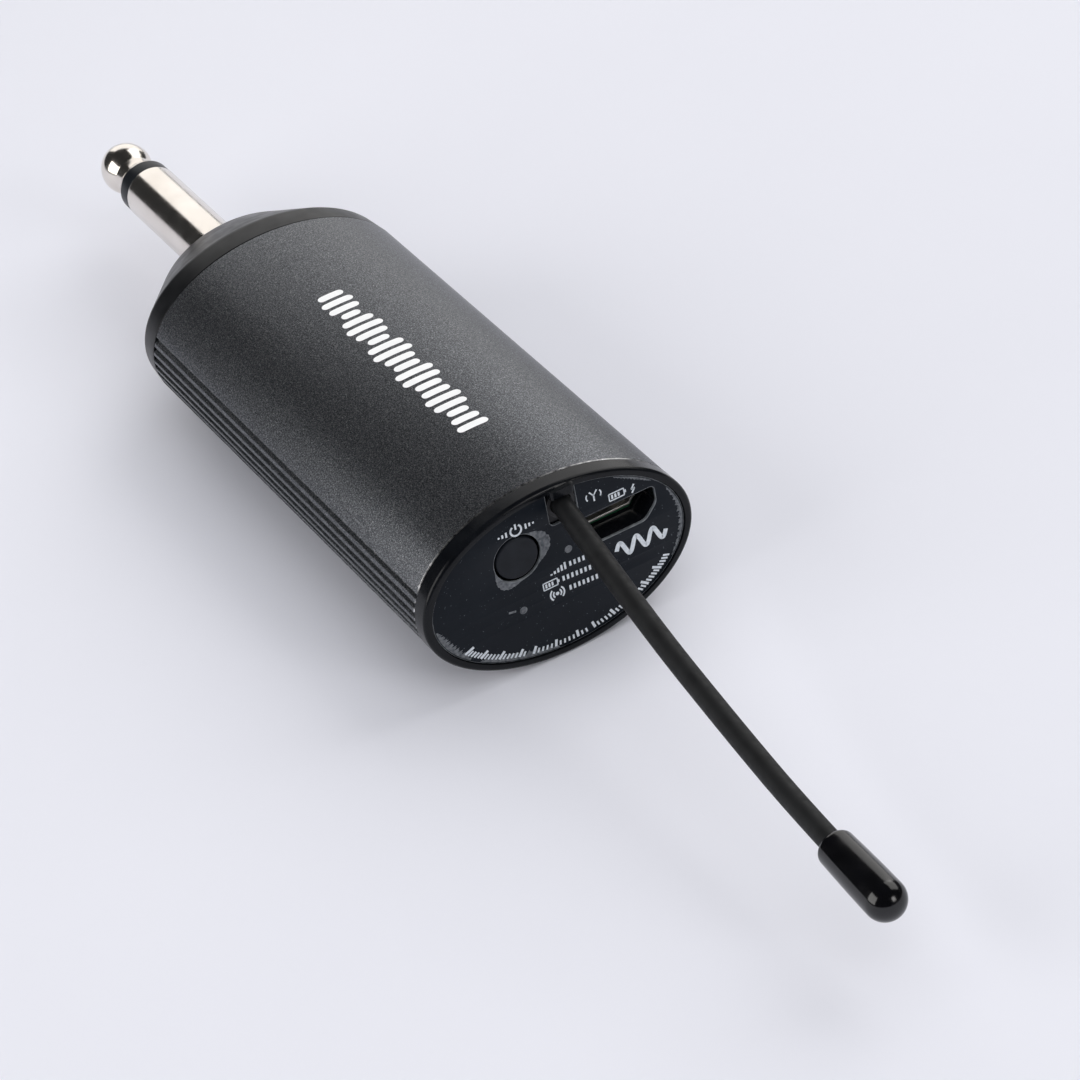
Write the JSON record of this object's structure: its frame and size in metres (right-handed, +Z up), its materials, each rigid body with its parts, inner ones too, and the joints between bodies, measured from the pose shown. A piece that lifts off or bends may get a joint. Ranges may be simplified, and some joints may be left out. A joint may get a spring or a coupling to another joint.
{
  "type": "wireless guitar transmitter",
  "caption": "Oval metal-bodied plug-in wireless transmitter with a 6.35 mm jack plug on its nose, a rear face with power key and charging port, and a bendable whip antenna.",
  "frame": {"origin": "centre of the plug's shoulder, where it stops against a jack socket", "axes": "+X from the plug to the antenna along the body, +Y to the right of the rear face seen from behind, +Z up across the thin way of the oval, towards the antenna's side"},
  "size_m": [0.167, 0.0306, 0.0198],
  "materials": {
    "anodised_tube": "dark grey sand-blasted and anodised, fine sparkle",
    "collar_plastic": "black moulded ABS, satin",
    "rim_plastic": "black moulded ABS, glossy rim",
    "label_film": "blue-black printed polyester film, satin",
    "nickel": "polished nickel plate",
    "insulator_black": "black nylon, satin",
    "insulator_white": "white nylon",
    "tinned_brass": "tinned brass",
    "zinc_steel": "zinc-plated steel",
    "button_plastic": "black moulded key, satin",
    "switch_body": "black switch body",
    "light_pipe": "clear smoked acrylic",
    "antenna_rubber": "matte black rubber",
    "tip_cap_vinyl": "glossy black dipped vinyl",
    "grommet_rubber": "black rubber",
    "antenna_wire": "spring steel",
    "board": "green solder mask on glass epoxy",
    "socket_steel": "nickel-plated steel",
    "chip_plastic": "black moulded epoxy",
    "cell_foil": "aluminium laminate pouch",
    "foam": "black foam tape",
    "lead_red": "red silicone insulation",
    "lead_black": "black silicone insulation",
    "lead_white": "white insulation"
  },
  "bodies": {
    "housing": {"housing_tube": "anodised_tube", "front_collar": "collar_plastic", "plug_sleeve": "nickel", "plug_ring_insulator": "insulator_black", "plug_core_insulator": "insulator_white", "plug_tip": "nickel", "plug_sleeve_lug": "tinned_brass", "plug_lock_washer": "zinc_steel", "plug_nut": "nickel", "plug_tip_lug": "tinned_brass", "rear_cap": "rim_plastic", "label_plate": "label_film", "tact_switch": "switch_body", "channel_indicator": "light_pipe", "power_indicator": "light_pipe", "signal_indicator": "light_pipe", "rear_cap_screws": "zinc_steel", "antenna_grommet": "grommet_rubber", "antenna_feed": "lead_black", "main_board": "board", "usb_socket_shell": "socket_steel", "usb_socket_tongue": "chip_plastic", "rf_shield_can": "socket_steel", "board_chips": "chip_plastic", "battery_cell": "cell_foil", "battery_pad": "foam", "battery_lead_positive": "lead_red", "battery_lead_negative": "lead_black", "tip_lead": "lead_white", "sleeve_lead": "lead_black"},
    "button": {"power_button": "button_plastic", "switch_plunger": "switch_body"},
    "antenna": {"antenna_sleeve": "antenna_rubber", "antenna_core": "antenna_wire", "antenna_tip_cap": "tip_cap_vinyl"}
  },
  "joints": [
    {"name": "power_button_press", "type": "slide", "parent": "housing", "child": "button", "axis": [-1, 0, 0], "range_m": [0, 0.00035], "stiffness_N_per_m": 4000, "springref_m": -0.0001},
    {"name": "antenna_flex", "type": "hinge", "parent": "housing", "child": "antenna", "pos_m": [0.0726, 0.00155, 0.0073], "axis": [0, 1, 0], "range_deg": [-15, 6.5], "stiffness_Nm_per_rad": 0.02}
  ]
}
